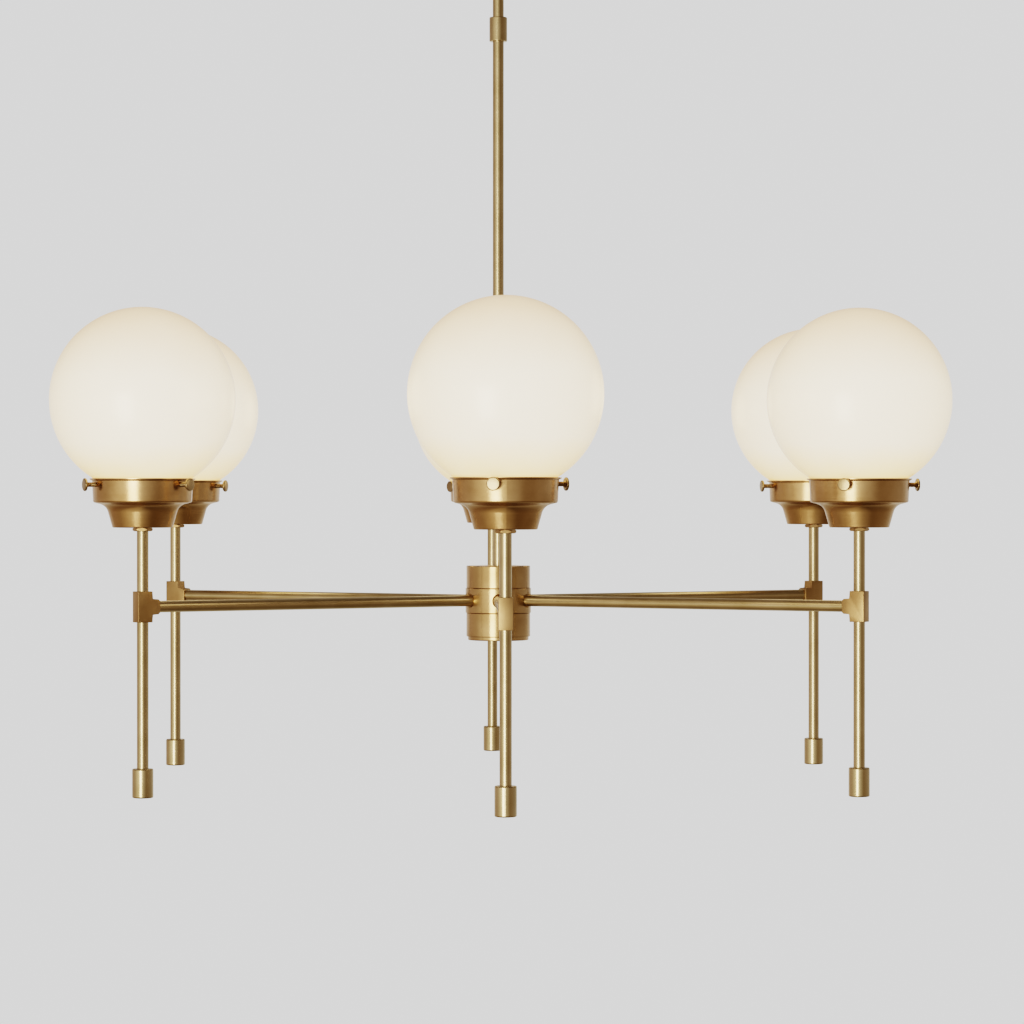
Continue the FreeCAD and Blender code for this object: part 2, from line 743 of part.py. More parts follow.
def make_thumbscrew(index, number):
    """Turned thumbscrew: a bevelled point in the globe's groove, a shank, a small collar and a round head."""
    shank = screw_diameter / 2
    collar = screw_collar_diameter / 2
    head = screw_head_diameter / 2
    tip_radius = groove_diameter / 2 + glass_gap
    head_low = gallery_wall_radius + screw_head_from_wall - tip_radius
    collar_low = head_low - screw_collar_length
    top = head_low + screw_head_thickness
    corners = [(0, 0), (shank - screw_point_bevel, 0), (shank, screw_point_bevel), (shank, collar_low),
               (collar, head_low), (head, head_low, screw_head_edge), (head, top, screw_head_edge), (0, top)]
    screw = turned(corners)
    screw.rotate(FreeCAD.Vector(), ALONG, 90)
    screw.translate(FreeCAD.Vector(tip_radius, 0, gallery_rim - screw_below_rim))
    screw.rotate(FreeCAD.Vector(), UP, screw_angle(index, number) - arm_angle(index))
    return at_arm(screw, index)


# ---- lamp holders and lamps ----
def make_lamp_holder():
    """Porcelain lamp holder on the rod's end: tapped below, with a deep round socket above."""
    base = holder_diameter / 2
    top = holder_top_diameter / 2
    socket = lamp_cap_diameter / 2 + lamp_gap
    socket_floor = holder_height - holder_lamp_socket
    corners = [(tube_hole, 0), (base, 0, holder_edge), (top, holder_height, holder_edge),
               (socket, holder_height), (socket, socket_floor), (0, socket_floor), (0, holder_rod_socket),
               (tube_hole, holder_rod_socket)]
    return turned(corners, level=holder_bottom)


def lamp_glass_outline(neck_radius, ball_radius, foot):
    """Pear outline from a neck to a round top: a straight flank that touches the ball."""
    centre = lamp_length - lamp_ball_diameter / 2
    drop = centre - lamp_neck_height
    reach = math.hypot(neck_radius, drop)
    turn = math.atan2(-drop, neck_radius) + math.acos(ball_radius / reach)
    touch = point(ball_radius * math.cos(turn), centre + ball_radius * math.sin(turn))
    middle_turn = (turn + math.pi / 2) / 2
    middle = point(ball_radius * math.cos(middle_turn), centre + ball_radius * math.sin(middle_turn))
    top = point(0, centre + ball_radius)
    neck = point(neck_radius, lamp_neck_height)
    start = point(neck_radius, foot)
    axis = point(0, foot)
    edges = [Part.LineSegment(axis, start).toShape(), Part.LineSegment(start, neck).toShape(),
             Part.LineSegment(neck, touch).toShape(), Part.Arc(touch, middle, top).toShape(),
             Part.LineSegment(top, axis).toShape()]
    return Part.Face(Part.Wire(edges))


def make_lamp():
    """Lamp with a screw cap, a centre contact and a pear-shaped glass envelope, hollow inside."""
    cap = lamp_cap_diameter / 2
    contact = lamp_contact_diameter / 2
    corners = [(0, 0), (contact, 0), (cap, lamp_contact_height), (cap, lamp_cap_length), (0, lamp_cap_length)]
    base = turned(corners)
    ball = lamp_ball_diameter / 2
    whole = lamp_glass_outline(cap, ball, lamp_cap_length).revolve(FreeCAD.Vector(), UP, 360)
    hollow = lamp_glass_outline(cap - lamp_glass, ball - lamp_glass, lamp_cap_length + lamp_glass)
    lamp = base.fuse(whole).cut(hollow.revolve(FreeCAD.Vector(), UP, 360)).removeSplitter()
    lamp.translate(UP * lamp_bottom)
    return lamp


# ---- all the pieces, from the ceiling down ----
def all_parts():
    """Every node's name and shape."""
    parts = {
        "crossbar": make_crossbar(),
        "ground_screw": make_ground_screw(),
        "nipple": make_nipple(),
        "nipple_nut": make_nipple_nut(),
        "canopy": make_canopy(),
        "swivel_collar": make_swivel_collar(),
        "swivel_yoke": make_swivel_yoke(),
        "swivel_pin": make_swivel_pin(),
        "swivel_tongue": make_swivel_tongue(),
        "upper_stem": make_upper_stem(),
        "stem_coupling": make_stem_coupling(),
        "lower_stem": make_lower_stem(),
        "stem_lock_nut": make_stem_lock_nut(),
        "hub_top_cap": make_hub_top_cap(),
        "hub_band": make_hub_band(),
        "hub_bottom_cap": make_hub_bottom_cap(),
        "hub_tie_screws": make_hub_tie_screws(),
        "hub_bottom_plate": make_hub_bottom_plate(),
        "hub_plate_screw": make_hub_plate_screw(),
        "arms": make_arms(),
        "tees": round_the_arms(make_tee()),
        "upper_rods": round_the_arms(make_upper_rod()),
        "lower_rods": round_the_arms(make_lower_rod()),
        "end_caps": round_the_arms(make_end_cap()),
        "gallery_nuts": round_the_arms(hex_nut(2 * tube_hole, gallery_bottom - nut_thickness)),
        "lamp_holders": round_the_arms(make_lamp_holder()),
        "lamps": round_the_arms(make_lamp()),
    }
    globe = make_globe()
    for i in range(arm_count):
        parts[f"gallery_{i + 1}"] = make_gallery(i)
        parts[f"globe_{i + 1}"] = at_arm(globe, i)
        for number in range(screws_per_gallery):
            parts[f"thumbscrew_{i + 1}{'abc'[number]}"] = make_thumbscrew(i, number)
    return parts


os.makedirs("parts", exist_ok=True)
for name, shape in all_parts().items():
    shape.exportStep(f"parts/{name}.step")
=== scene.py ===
import bmesh
import bpy
import json
import math
from mathutils import Matrix, Vector


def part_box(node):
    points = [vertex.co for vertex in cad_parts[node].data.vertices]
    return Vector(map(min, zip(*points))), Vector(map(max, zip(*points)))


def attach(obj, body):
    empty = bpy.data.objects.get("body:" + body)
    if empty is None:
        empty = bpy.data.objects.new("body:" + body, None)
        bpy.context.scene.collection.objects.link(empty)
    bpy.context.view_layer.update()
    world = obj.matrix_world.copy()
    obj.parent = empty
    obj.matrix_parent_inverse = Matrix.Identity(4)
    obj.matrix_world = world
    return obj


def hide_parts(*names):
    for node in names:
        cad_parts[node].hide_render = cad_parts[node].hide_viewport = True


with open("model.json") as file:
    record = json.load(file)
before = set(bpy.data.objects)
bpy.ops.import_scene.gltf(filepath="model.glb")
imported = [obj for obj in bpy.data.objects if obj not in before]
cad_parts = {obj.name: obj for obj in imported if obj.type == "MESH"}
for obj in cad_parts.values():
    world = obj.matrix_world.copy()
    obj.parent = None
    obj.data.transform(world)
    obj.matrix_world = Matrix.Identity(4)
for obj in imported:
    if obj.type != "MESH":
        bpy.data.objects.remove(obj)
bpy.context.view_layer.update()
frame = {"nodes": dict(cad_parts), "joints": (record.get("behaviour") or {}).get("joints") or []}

# Six-light branch chandelier, from the ceiling down. Lengths are written in millimetres and used in metres.


# ---- crossbar, nipple and grounding screw ----
# A pressed steel strap is screwed under the outlet box, and a threaded pipe hangs from it with a lock nut.
# All three are mild steel, electroplated with zinc. The grounding screw in the strap is dyed green.
MM = 0.001
ZINC = "#B9BCBD"
ZINC_SHADE = "#8F9394"
CRYSTAL_SIZE = 3.5          # plated zinc clouds into soft patches about this large
GROUND_GREEN = "#2F6B37"
GROUND_GREEN_THIN = "#6B9370"
DYE_PATCH = 2.0
SLOT_WIDTH = 1.1
SLOT_DEPTH = 0.9
SLOT_REACH = 3              # a slot's cutter is this many times as long as the head's radius
CUTTER_START = 1.0          # how far outside the piece a cutter starts
SCREW_SIDES = 64
THREAD_STEPS = 8            # rings to each turn of a screw's thread
THREAD_TIP = 0.4            # how far a screw's end tapers in
NUT_SIDES = 6
NUT_STEPS = 10              # points along each flat of a nut
NUT_CHAMFER = math.radians(30)
NUT_CHAMFER_START = 0.97    # the chamfer's circle on the face, as a share of the circle inside the flats
NUT_LEVELS = (0.0, 0.12, 0.25, 0.4, 0.6, 0.85)      # depths from each face that the chamfer is drawn at
NIPPLE_BORE = 10.1
GROUND_HEAD_HEIGHT = 2.0
GROUND_HEAD_CURVE = ((0.55, 0.0), (0.85, 0.25), (0.97, 0.7), (1.0, 1.1))    # share of the radius, depth
GROUND_SHANK = 1.75
GROUND_THREAD_PITCH = 0.8
GROUND_THREAD_DEPTH = 0.35


def linear(code):
    """The linear colour of an sRGB hex code."""
    parts = [int(code[i:i + 2], 16) / 255 for i in (1, 3, 5)]
    return [p / 12.92 if p <= 0.04045 else ((p + 0.055) / 1.055)**2.4 for p in parts] + [1.0]


def add(owner, kind, inputs=(), **settings):
    """Adds a shader node to a material or world, with its settings, input values and links."""
    made = owner.node_tree.nodes.new("ShaderNode" + kind)
    for name, value in settings.items():
        setattr(made, name, value)
    for name, value in dict(inputs).items():
        if isinstance(value, bpy.types.NodeSocket):
            owner.node_tree.links.new(value, made.inputs[name])
        else:
            made.inputs[name].default_value = value
    return made


def new_finish(name):
    """An empty material."""
    made = bpy.data.materials.new(name)
    made.use_nodes = True
    made.node_tree.nodes.clear()
    return made


def wear(finish, *nodes):
    """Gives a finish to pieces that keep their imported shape."""
    for name in nodes:
        frame["nodes"][name].material_slots[0].material = finish


def zinc_plated_steel():
    """Zinc plate: a cool, soft grey metal with faint crystal clouds, duller than polished steel."""
    zinc = new_finish("zinc_plated_steel")
    place = add(zinc, "TexCoord").outputs["Object"]
    clouds = add(zinc, "TexVoronoi", {"Vector": place, "Scale": 1 / (CRYSTAL_SIZE * MM)}, feature="SMOOTH_F1")
    tone = add(zinc, "ValToRGB", {"Fac": clouds.outputs["Distance"]})
    tone.color_ramp.elements[0].color = linear(ZINC_SHADE)
    tone.color_ramp.elements[1].color = linear(ZINC)
    gloss = add(zinc, "MapRange", {"Value": clouds.outputs["Distance"], "To Min": 0.32, "To Max": 0.46})
    plate = add(zinc, "BsdfPrincipled", {
        "Base Color": tone.outputs["Color"], "Metallic": 1.0, "Roughness": gloss.outputs["Result"]})
    add(zinc, "OutputMaterial", {"Surface": plate.outputs["BSDF"]})
    return zinc


def green_dyed_steel():
    """Green dye over bright plate: a dark, slightly metallic green that greys a little where it is thin."""
    green = new_finish("green_dyed_steel")
    place = add(green, "TexCoord").outputs["Object"]
    thin = add(green, "TexNoise", {"Vector": place, "Scale": 1 / (DYE_PATCH * MM), "Detail": 3.0})
    tone = add(green, "ValToRGB", {"Fac": thin.outputs["Fac"]})
    tone.color_ramp.elements[0].color = linear(GROUND_GREEN)
    tone.color_ramp.elements[1].color = linear(GROUND_GREEN_THIN)
    dye = add(green, "BsdfPrincipled", {
        "Base Color": tone.outputs["Color"], "Metallic": 0.7, "Roughness": 0.35})
    add(green, "OutputMaterial", {"Surface": dye.outputs["BSDF"]})
    return green


def ring(radius, height, sides, thread_depth=0.0, pitch=1.0):
    """Points round the Z axis. With a thread, the radius dips along a helix."""
    points = []
    for i in range(sides):
        turn = 2 * math.pi * i / sides
        dip = thread_depth * abs(2 * ((height / pitch - i / sides) % 1.0) - 1)
        points.append(Vector(((radius - dip) * math.cos(turn), (radius - dip) * math.sin(turn), height)))
    return points


def thread_rings(radius, depth, pitch, start, end, sides, steps=THREAD_STEPS):
    """The rings of a thread that runs between two heights."""
    step = pitch / steps
    rings = []
    at = start + step
    while at < end - step:
        rings.append(ring(radius, at, sides, depth, pitch))
        at += step
    return rings


def skin(shape, rings, place=Matrix.Identity(4), closed=False):
    """Joins rings of points, in millimetres, into a skin: capped at both ends, or closed like a hoop."""
    loops = [[shape.verts.new(place @ (at * MM)) for at in points] for points in rings]
    pairs = list(zip(loops, loops[1:]))
    if closed:
        pairs.append((loops[-1], loops[0]))
    for low, high in pairs:
        for i in range(len(low)):
            j = (i + 1) % len(low)
            shape.faces.new((low[i], low[j], high[j], high[i]))
    if not closed:
        shape.faces.new(loops[0][::-1])
        shape.faces.new(loops[-1])


def as_piece(name, shape, finish, smooth_under=35.0):
    """Turns a built form into an object with its finish, smooth except at its edges."""
    bmesh.ops.recalc_face_normals(shape, faces=shape.faces)
    mesh = bpy.data.meshes.new(name)
    shape.to_mesh(mesh)
    shape.free()
    mesh.shade_smooth()
    mesh.set_sharp_from_angle(angle=math.radians(smooth_under))
    mesh.materials.append(finish)
    piece = bpy.data.objects.new(name, mesh)
    bpy.context.scene.collection.objects.link(piece)
    return piece


def carve(piece, cutter):
    """Takes the cutter's form out of a piece for good."""
    cut = piece.modifiers.new("cut", "BOOLEAN")
    cut.operation = "DIFFERENCE"
    cut.solver = "EXACT"
    cut.object = cutter
    seen = piece.evaluated_get(bpy.context.evaluated_depsgraph_get())
    mesh = bpy.data.meshes.new_from_object(seen)
    piece.modifiers.clear()
    piece.data = mesh
    bpy.data.objects.remove(cutter)


def mount(piece, body, slot_name, *nodes):
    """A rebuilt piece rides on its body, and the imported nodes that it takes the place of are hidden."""
    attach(piece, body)
    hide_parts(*nodes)


def hex_nut_rings(across_flats, bore, thickness, base):
    """A hexagon nut as rings: chamfered corners on both faces, and a round bore."""
    apothem = across_flats / 2
    sides = NUT_SIDES * NUT_STEPS
    levels = list(NUT_LEVELS) + [thickness - level for level in NUT_LEVELS[::-1]]
    rings = []
    for level in levels:
        from_face = min(level, thickness - level)
        allowed = apothem * NUT_CHAMFER_START + from_face / math.tan(NUT_CHAMFER)
        points = []
        for i in range(sides):
            turn = 2 * math.pi * i / sides
            off_flat = (turn % (2 * math.pi / NUT_SIDES)) - math.pi / NUT_SIDES
            reach = min(apothem / math.cos(off_flat), allowed)
            points.append(Vector((reach * math.cos(turn), reach * math.sin(turn), base + level)))
        rings.append(points)
    rings.append(ring(bore / 2, base + thickness, sides))
    rings.append(ring(bore / 2, base, sides))
    return rings


def slot_cutter(name, length, low, high, place):
    """A bar that cuts a screwdriver slot."""
    shape = bmesh.new()
    bmesh.ops.create_cube(shape, size=1.0)
    size = Matrix.Diagonal((length * MM, SLOT_WIDTH * MM, (high - low) * MM, 1.0))
    bmesh.ops.transform(shape, matrix=place @ Matrix.Translation((0, 0, (low + high) / 2 * MM)) @ size,
                        verts=shape.verts)
    mesh = bpy.data.meshes.new(name)
    shape.to_mesh(mesh)
    shape.free()
    cutter = bpy.data.objects.new(name, mesh)
    bpy.context.scene.collection.objects.link(cutter)
    return cutter


zinc = zinc_plated_steel()
wear(zinc, "crossbar", "nipple", "hub_tie_screws")

low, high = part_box("nipple_nut")
nut_flats = (high.y - low.y) / MM
shape = bmesh.new()
skin(shape, hex_nut_rings(nut_flats, NIPPLE_BORE, (high.z - low.z) / MM, low.z / MM), closed=True)
mount(as_piece("nipple_lock_nut", shape, zinc), "ceiling_mount", "zinc_steel", "nipple_nut")

low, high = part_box("ground_screw")
head = (high.y - low.y) / 2 / MM
base = low.z / MM
top = high.z / MM
under_head = base + GROUND_HEAD_HEIGHT
middle = Matrix.Translation(((low.x + high.x) / 2, 0, 0))
rings = [ring(head * share, base + depth, SCREW_SIDES) for share, depth in GROUND_HEAD_CURVE]
rings.append(ring(head, under_head, SCREW_SIDES))
rings.append(ring(GROUND_SHANK, under_head, SCREW_SIDES))
rings += thread_rings(GROUND_SHANK, GROUND_THREAD_DEPTH, GROUND_THREAD_PITCH, under_head, top, SCREW_SIDES)
rings.append(ring(GROUND_SHANK - THREAD_TIP, top, SCREW_SIDES))
shape = bmesh.new()
skin(shape, rings, middle)
ground_screw = as_piece("ground_screw_slotted", shape, green_dyed_steel())
ground_slot = slot_cutter("ground_slot", head * SLOT_REACH, base - CUTTER_START, base + SLOT_DEPTH, middle)
carve(ground_screw, ground_slot)
mount(ground_screw, "ceiling_mount", "green_screw", "ground_screw")


# ---- canopy ----
# A shallow dome of sheet brass, spun over a former and aged brown, then rubbed back to a satin.
# The collar of the swivel, screwed onto the nipple, holds it up against the ceiling.
SHEET_TONES = ("#B5956A", "#C6A77E", "#D2B48C")     # thick patina, plain patina, rubbed bright
PATINA_AT = 0.32            # where the three tones lie in the clouds
PLAIN_AT = 0.56
BRIGHT_AT = 0.82
PATINA_CLOUD = 22.0         # patches of thicker and thinner patina
PATINA_SPECK = 1.6          # small dark specks that rubbing leaves
SPECK_STARTS = 0.62
SPECK_FULL = 0.72
SPECK_SHARE = 0.12
LINE_SHARE = 0.14           # how much the lines change the tone
LINE_LOW = 0.3              # nearly all of the lines' noise lies between these two
LINE_HIGH = 0.7
GLOSS_DROP = 0.02           # how far the roughness drifts down and up with the lines
GLOSS_RISE = 0.03
SPIN_LINE = 0.9             # ridges of the spinning tool; the real ones are finer, and these just show
SPIN_LENGTH = 60.0          # how far round a ridge keeps its tone
SPIN_DEPTH = 0.0005


def aged_brass(name, tones, grain, roughness, line_depth, radial=False):
    """Aged brass: warm brown satin metal, cloudy where the patina is thicker, with fine lines from its
    making. grain is the size of its lines along X, Y and Z, and radial ones run outward along the arms."""
    brass = new_finish(name)
    patina, plain, bright = [linear(code) for code in tones]
    place = add(brass, "TexCoord").outputs["Object"]
    fineness = [1 / (size * MM) for size in grain]
    along = add(brass, "VectorMath", {0: place, 1: fineness}, operation="MULTIPLY").outputs["Vector"]
    if radial:
        flat = add(brass, "VectorMath", {0: along, 1: (1.0, 1.0, 0.0)}, operation="MULTIPLY")
        outward = add(brass, "VectorMath", {0: flat.outputs["Vector"]}, operation="LENGTH")
        height = add(brass, "SeparateXYZ", {"Vector": along})
        along = add(brass, "CombineXYZ", {
            "X": outward.outputs["Value"], "Z": height.outputs["Z"]}).outputs["Vector"]
    lines = add(brass, "TexNoise", {"Vector": along, "Scale": 1.0, "Detail": 3.0, "Roughness": 0.6})
    clouds = add(brass, "TexNoise", {"Vector": place, "Scale": 1 / (PATINA_CLOUD * MM), "Detail": 4.0})
    specks = add(brass, "TexNoise", {"Vector": place, "Scale": 1 / (PATINA_SPECK * MM), "Detail": 2.0})
    age = add(brass, "Math", {0: lines.outputs["Fac"], 1: LINE_SHARE, 2: clouds.outputs["Fac"]},
              operation="MULTIPLY_ADD")
    tone = add(brass, "ValToRGB", {"Fac": age.outputs["Value"]})
    tone.color_ramp.elements[0].position = PATINA_AT
    tone.color_ramp.elements[0].color = patina
    tone.color_ramp.elements[1].position = BRIGHT_AT
    tone.color_ramp.elements[1].color = bright
    tone.color_ramp.elements.new(PLAIN_AT).color = plain
    dark = add(brass, "MapRange", {
        "Value": specks.outputs["Fac"], "From Min": SPECK_STARTS, "From Max": SPECK_FULL,
        "To Min": 0.0, "To Max": SPECK_SHARE})
    spotted = add(brass, "Mix", {"Factor": dark.outputs["Result"], "A": tone.outputs["Color"],
                                 "B": patina}, data_type="RGBA")
    gloss = add(brass, "MapRange", {
        "Value": lines.outputs["Fac"], "From Min": LINE_LOW, "From Max": LINE_HIGH,
        "To Min": roughness - GLOSS_DROP, "To Max": roughness + GLOSS_RISE})
    relief = add(brass, "Bump", {
        "Height": lines.outputs["Fac"], "Strength": 1.0, "Distance": line_depth * MM})
    metal = add(brass, "BsdfPrincipled", {
        "Base Color": spotted.outputs["Result"], "Metallic": 1.0, "Roughness": gloss.outputs["Result"],
        "Normal": relief.outputs["Normal"]})
    add(brass, "OutputMaterial", {"Surface": metal.outputs["BSDF"]})
    return brass


spun_brass = aged_brass("spun_aged_brass", SHEET_TONES, (SPIN_LENGTH, SPIN_LENGTH, SPIN_LINE),
                        roughness=0.23, line_depth=SPIN_DEPTH)
wear(spun_brass, "canopy")


# ---- hang-straight swivel ----
# Turned and milled from brass bar: a collar on the nipple, a fork that turns in it, and a tongue on a riveted
# pin. The tool's lines run round the turned faces, and the milled flats have a plain satin grain.
BAR_TONES = ("#B09269", "#C0A379", "#CDB188")
TURN_LINE = 0.8             # the lathe's feed marks are finer; these are as coarse as shows
TURN_LENGTH = 40.0
MILL_LINE = 0.6
MILL_LENGTH = 25.0
TOOL_DEPTH = 0.001          # lathe and mill both leave lines about this deep

turned_brass = aged_brass("turned_aged_brass", BAR_TONES, (TURN_LENGTH, TURN_LENGTH, TURN_LINE),
                          roughness=0.18, line_depth=TOOL_DEPTH)
milled_brass = aged_brass("milled_aged_brass", BAR_TONES, (MILL_LINE, MILL_LINE, MILL_LENGTH),
                          roughness=0.4, line_depth=TOOL_DEPTH)
wear(turned_brass, "swivel_collar", "swivel_pin")
wear(milled_brass, "swivel_yoke", "swivel_tongue")


# ---- stem ----
# Two lengths of drawn brass tube, joined by a round coupling that both are screwed into. The drawing die
# leaves faint straight lines along the tube. A steel lock nut inside the hub holds the hub up.
TUBE_TONES = ("#BBAA84", "#C6B592", "#D0C09E")      # the tube's alloy is paler and a little more olive
DRAW_LINE = 0.7
DRAW_LENGTH = 90.0
DRAW_DEPTH = 0.0004
TUBE_BORE = 9.625           # holes that the tube is screwed into

drawn_brass = aged_brass("drawn_aged_brass", TUBE_TONES, (DRAW_LINE, DRAW_LINE, DRAW_LENGTH),
                         roughness=0.24, line_depth=DRAW_DEPTH)
fitting_brass = aged_brass("turned_aged_brass_fittings", TUBE_TONES, (TURN_LENGTH, TURN_LENGTH, TURN_LINE),
                           roughness=0.22, line_depth=TOOL_DEPTH)
wear(drawn_brass, "upper_stem", "lower_stem")
wear(fitting_brass, "stem_coupling")

low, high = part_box("stem_lock_nut")
shape = bmesh.new()
skin(shape, hex_nut_rings(nut_flats, TUBE_BORE, (high.z - low.z) / MM, low.z / MM), closed=True)
mount(as_piece("stem_nut", shape, zinc), "fixture", "zinc_steel", "stem_lock_nut")


# ---- hub ----
# Three brass rings, turned on a lathe and drawn together by two long screws, with a thin plate under them.
# The plate's countersunk screw is brass too, and its slot lies in line with the front arm.
PLATE_SHANK = 2.0
PLATE_SINK = 1.9            # the depth of the countersunk head
PLATE_THREAD_PITCH = 0.7
PLATE_THREAD_DEPTH = 0.3

wear(turned_brass, "hub_top_cap", "hub_band", "hub_bottom_cap", "hub_bottom_plate")

low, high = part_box("hub_plate_screw")
head = (high.x - low.x) / 2 / MM
base = low.z / MM
top = high.z / MM
neck = base + PLATE_SINK
rings = [ring(head, base, SCREW_SIDES), ring(PLATE_SHANK, neck, SCREW_SIDES)]
rings += thread_rings(PLATE_SHANK, PLATE_THREAD_DEPTH, PLATE_THREAD_PITCH, neck, top, SCREW_SIDES)
rings.append(ring(PLATE_SHANK - THREAD_TIP, top, SCREW_SIDES))
shape = bmesh.new()
skin(shape, rings)
plate_screw = as_piece("plate_screw_slotted", shape, turned_brass)
quarter = Matrix.Rotation(math.radians(90), 4, "Z")
plate_slot = slot_cutter("plate_slot", head * SLOT_REACH, base - CUTTER_START, base + SLOT_DEPTH, quarter)
carve(plate_screw, plate_slot)
mount(plate_screw, "fixture", "aged_brass", "hub_plate_screw")


# ---- arms ----
# Six lengths of the same drawn tube, each screwed through the hub's band and into its tee.
arm_brass = aged_brass("drawn_aged_brass_arms", TUBE_TONES, (DRAW_LENGTH, DRAW_LENGTH, DRAW_LINE),
                       roughness=0.28, line_depth=DRAW_DEPTH, radial=True)
wear(arm_brass, "arms")


# ---- tees ----
# Each tee is milled from square brass bar, with a bevelled boss towards the hub. Its edges are broken with a
# file, and it is bored for the rods above and below and for the arm.
ARMS = 6
TEE_WIDTH = 11.4
TEE_DEPTH = 12.7
BOSS_LENGTH = 7.0
BOSS_HEIGHT = 12.4
BOSS_BEVEL = 1.6
BROKEN_EDGE = 0.35
EDGE_STEPS = 3
ROD_SOCKET = 10.0
ARM_SOCKET = 7.0
BORE_SIDES = 48

low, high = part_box("gallery_1")
rod_circle = -(low.y + high.y) / 2
arm_places = [
    Matrix.Rotation(math.radians(360 * i / ARMS - 90), 4, "Z") @ Matrix.Translation((rod_circle, 0, 0))
    for i in range(ARMS)
]


def copies_round(source, name, finish):
    """One copy of a form, built on the Z axis, at the end of each arm."""
    whole = bmesh.new()
    for place in arm_places:
        mesh = source.copy()
        mesh.transform(place)
        whole.from_mesh(mesh)
        bpy.data.meshes.remove(mesh)
    return as_piece(name, whole, finish)


def bore_cutter(name, start, length, place):
    """A round bar that cuts a socket for a tube."""
    shape = bmesh.new()
    ends = [ring(TUBE_BORE / 2, height, BORE_SIDES) for height in (start, start + length)]
    skin(shape, ends, place)
    return as_piece(name, shape, milled_brass)


low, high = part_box("tees")
tee_low = low.z / MM
tee_high = high.z / MM
arm_level = (tee_low + tee_high) / 2
half = TEE_DEPTH / 2
boss_face = -half - BOSS_LENGTH
boss = BOSS_HEIGHT / 2
outline = [
    (half, tee_low), (half, tee_high), (-half, tee_high), (-half, arm_level + boss),
    (boss_face + BOSS_BEVEL, arm_level + boss), (boss_face, arm_level + boss - BOSS_BEVEL),
    (boss_face, arm_level - boss + BOSS_BEVEL), (boss_face + BOSS_BEVEL, arm_level - boss),
    (-half, arm_level - boss), (-half, tee_low),
]
shape = bmesh.new()
sides = [[shape.verts.new(Vector((x, y, z)) * MM) for x, z in outline]
         for y in (-TEE_WIDTH / 2, TEE_WIDTH / 2)]
shape.faces.new(sides[0])
shape.faces.new(sides[1][::-1])
for i in range(len(outline)):
    j = (i + 1) % len(outline)
    shape.faces.new((sides[0][j], sides[0][i], sides[1][i], sides[1][j]))
bmesh.ops.bevel(shape, geom=list(shape.edges), offset=BROKEN_EDGE * MM, segments=EDGE_STEPS, profile=0.5,
                affect="EDGES")
tee = as_piece("tee_pattern", shape, milled_brass)
upright = Matrix.Identity(4)
toward_arm = Matrix.Translation((0, 0, arm_level * MM)) @ Matrix.Rotation(math.radians(90), 4, "Y")
carve(tee, bore_cutter("tee_top_bore", tee_high - ROD_SOCKET, ROD_SOCKET + CUTTER_START, upright))
carve(tee, bore_cutter("tee_low_bore", tee_low - CUTTER_START, ROD_SOCKET + CUTTER_START, upright))
carve(tee, bore_cutter("tee_arm_bore", boss_face - CUTTER_START, ARM_SOCKET + CUTTER_START, toward_arm))
mount(copies_round(tee.data, "square_bar_tees", milled_brass), "fixture", "aged_brass", "tees")
bpy.data.objects.remove(tee)


# ---- rods, end caps and gallery nuts ----
# Above and below each tee stands a rod of the drawn tube. A plain turned cap closes the lower one, and a thin
# brass nut on the upper one holds the gallery up from below, with one of its flats facing outward.
wear(drawn_brass, "upper_rods", "lower_rods")
wear(fitting_brass, "end_caps")

low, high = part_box("gallery_nuts")
flat_outward = Matrix.Rotation(math.pi / NUT_SIDES, 4, "Z")
nut_rings = hex_nut_rings(nut_flats, TUBE_BORE, (high.z - low.z) / MM, low.z / MM)
shape = bmesh.new()
for place in arm_places:
    skin(shape, nut_rings, place @ flat_outward, closed=True)
mount(as_piece("gallery_hex_nuts", shape, milled_brass), "fixture", "aged_brass", "gallery_nuts")


# ---- galleries ----
# Each gallery is a cup of sheet brass, spun over a former: a flat base, a cove, a step and an upright wall
# with a rolled rim. It holds the globe's lip, and three thumbscrews go through its wall.
wear(spun_brass, *[f"gallery_{i + 1}" for i in range(ARMS)])


# ---- lamp holders ----
# White porcelain, pressed, glazed and fired, and screwed onto the end of each rod inside the gallery.
PORCELAIN = "#EFEDE6"
PORCELAIN_SHADE = "#DDD9CE"
FIRING_CLOUD = 12.0
GLAZE_RIPPLE = 0.05


def glazed_porcelain():
    """Porcelain under a thin glaze: off-white, dense and glossy, with a slight warm mottling."""
    white = new_finish("glazed_porcelain")
    place = add(white, "TexCoord").outputs["Object"]
    mottle = add(white, "TexNoise", {"Vector": place, "Scale": 1 / (FIRING_CLOUD * MM), "Detail": 4.0})
    tone = add(white, "ValToRGB", {"Fac": mottle.outputs["Fac"]})
    tone.color_ramp.elements[0].color = linear(PORCELAIN_SHADE)
    tone.color_ramp.elements[1].color = linear(PORCELAIN)
    ripple = add(white, "Bump", {"Height": mottle.outputs["Fac"], "Distance": GLAZE_RIPPLE * MM})
    glaze = add(white, "BsdfPrincipled", {
        "Base Color": tone.outputs["Color"], "Roughness": 0.18, "IOR": 1.5,
        "Normal": ripple.outputs["Normal"]})
    add(white, "OutputMaterial", {"Surface": glaze.outputs["BSDF"]})
    return white


wear(glazed_porcelain(), "lamp_holders")


# ---- lamps ----
# A pear-shaped frosted glass bulb on a nickelled brass cap, whose rolled thread screws into the holder. It is
# lit; the globe's glow around it is painted on the globe itself as emission.
CAP_HEIGHT = 24.0
CAP_RADIUS = 13.0
CAP_PITCH = 3.63
CAP_THREAD = 0.9
CAP_THREAD_STEPS = 12
CONTACT_RADIUS = 4.5
CONE_HEIGHT = 3.0
NECK_HEIGHT = 29.0
BALL_RADIUS = 23.8
LAMP_SIDES = 64
BALL_STEPS = 24
LAMP_BODY = "#FBF6EA"
LAMP_GLOW = "#FFE9C4"
ETCH_SIZE = 4.0
NICKEL = "#C9C4BA"
HANDLING_MARK = 3.0


